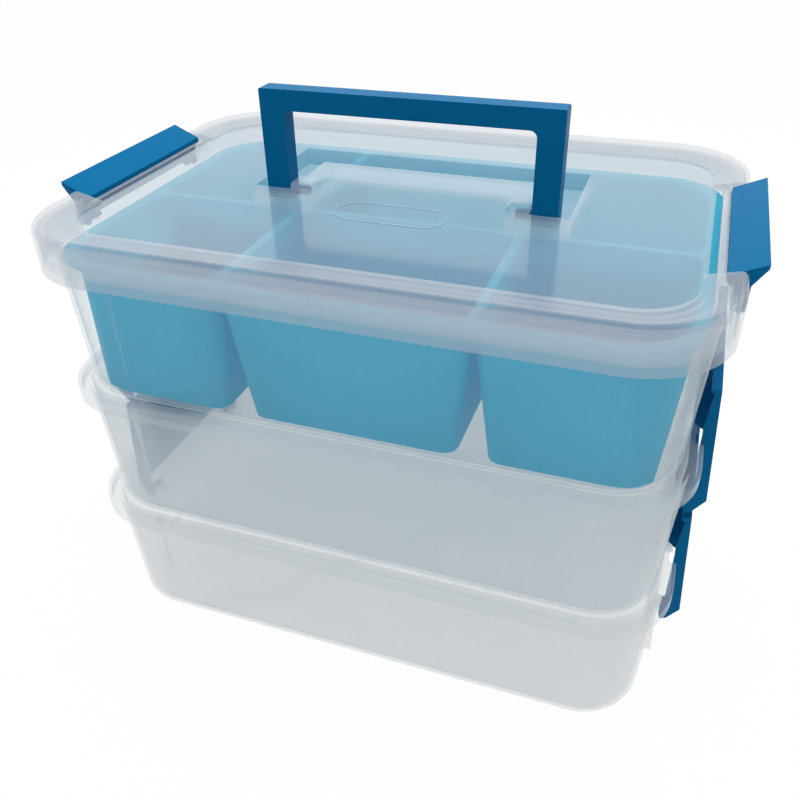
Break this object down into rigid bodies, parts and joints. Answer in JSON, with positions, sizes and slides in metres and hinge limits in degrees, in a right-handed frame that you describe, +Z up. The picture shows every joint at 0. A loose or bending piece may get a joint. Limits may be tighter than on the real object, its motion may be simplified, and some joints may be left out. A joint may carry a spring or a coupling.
{
  "type": "three-tier organizer box",
  "caption": "Stacking organizer box of translucent trays with a divided insert, a clear lid, a folding carry handle and hooked end latches.",
  "frame": {"origin": "middle of the footprint on the table, under the middle of the box", "axes": "+X to the right along the long side, +Y to the back, +Z up; the front with the long wall faces -Y"},
  "size_m": [0.3804, 0.2568, 0.3241],
  "materials": {
    "clear_tray": "satin translucent polypropylene",
    "clear_lid": "frosted rim and glossy panel, translucent polypropylene",
    "blue_translucent": "satin translucent blue polypropylene",
    "blue_solid": "satin blue polypropylene",
    "blue_latch": "satin blue polypropylene"
  },
  "bodies": {
    "bottom_tray": {"bottom_tray": "clear_tray"},
    "middle_tray": {"middle_tray": "clear_tray"},
    "upper_tray": {"upper_tray": "clear_tray"},
    "divider_tray": {"divider_tray": "blue_translucent"},
    "lid": {"lid": "clear_lid"},
    "handle": {"handle": "blue_solid"},
    "bottom_latch_left": {"bottom_latch_left": "blue_latch"},
    "bottom_latch_right": {"bottom_latch_right": "blue_latch"},
    "middle_latch_left": {"middle_latch_left": "blue_latch"},
    "middle_latch_right": {"middle_latch_right": "blue_latch"},
    "lid_latch_left": {"lid_latch_left": "blue_latch"},
    "lid_latch_right": {"lid_latch_right": "blue_latch"}
  },
  "joints": [
    {"name": "handle_fold", "type": "hinge", "parent": "lid", "child": "handle", "pos_m": [0, 0, 0.2654], "axis": [-1, 0, 0], "range_deg": [0, 90]},
    {"name": "middle_tray_lift", "type": "slide", "parent": "bottom_tray", "child": "middle_tray", "axis": [0, 0, 1], "range_m": [0, 0.06]},
    {"name": "upper_tray_lift", "type": "slide", "parent": "middle_tray", "child": "upper_tray", "axis": [0, 0, 1], "range_m": [0, 0.06]},
    {"name": "lid_lift", "type": "slide", "parent": "upper_tray", "child": "lid", "axis": [0, 0, 1], "range_m": [0, 0.025]},
    {"name": "divider_tray_lift", "type": "slide", "parent": "upper_tray", "child": "divider_tray", "axis": [0, 0, 1], "range_m": [0, 0.013]},
    {"name": "bottom_latch_left_open", "type": "hinge", "parent": "bottom_tray", "child": "bottom_latch_left", "pos_m": [-0.1795, 0, 0.05], "axis": [0, -1, 0], "range_deg": [0, 90]},
    {"name": "bottom_latch_right_open", "type": "hinge", "parent": "bottom_tray", "child": "bottom_latch_right", "pos_m": [0.1795, 0, 0.05], "axis": [0, 1, 0], "range_deg": [0, 90]},
    {"name": "middle_latch_left_open", "type": "hinge", "parent": "middle_tray", "child": "middle_latch_left", "pos_m": [-0.1795, 0, 0.1346], "axis": [0, -1, 0], "range_deg": [0, 90]},
    {"name": "middle_latch_right_open", "type": "hinge", "parent": "middle_tray", "child": "middle_latch_right", "pos_m": [0.1795, 0, 0.1346], "axis": [0, 1, 0], "range_deg": [0, 90]},
    {"name": "lid_latch_left_open", "type": "hinge", "parent": "upper_tray", "child": "lid_latch_left", "pos_m": [-0.1786, 0, 0.2567], "axis": [0, -1, 0], "range_deg": [0, 90]},
    {"name": "lid_latch_right_open", "type": "hinge", "parent": "upper_tray", "child": "lid_latch_right", "pos_m": [0.1786, 0, 0.2567], "axis": [0, 1, 0], "range_deg": [0, 90]}
  ],
  "couplings": [
    {"joint": "divider_tray_lift", "follows": "lid_lift", "ratio": 0.5},
    {"joint": "bottom_latch_left_open", "follows": "middle_tray_lift", "rad_per_m": 26},
    {"joint": "bottom_latch_right_open", "follows": "middle_tray_lift", "rad_per_m": 26},
    {"joint": "middle_latch_left_open", "follows": "upper_tray_lift", "rad_per_m": 26},
    {"joint": "middle_latch_right_open", "follows": "upper_tray_lift", "rad_per_m": 26},
    {"joint": "lid_latch_left_open", "follows": "lid_lift", "rad_per_m": 62},
    {"joint": "lid_latch_right_open", "follows": "lid_lift", "rad_per_m": 62}
  ]
}
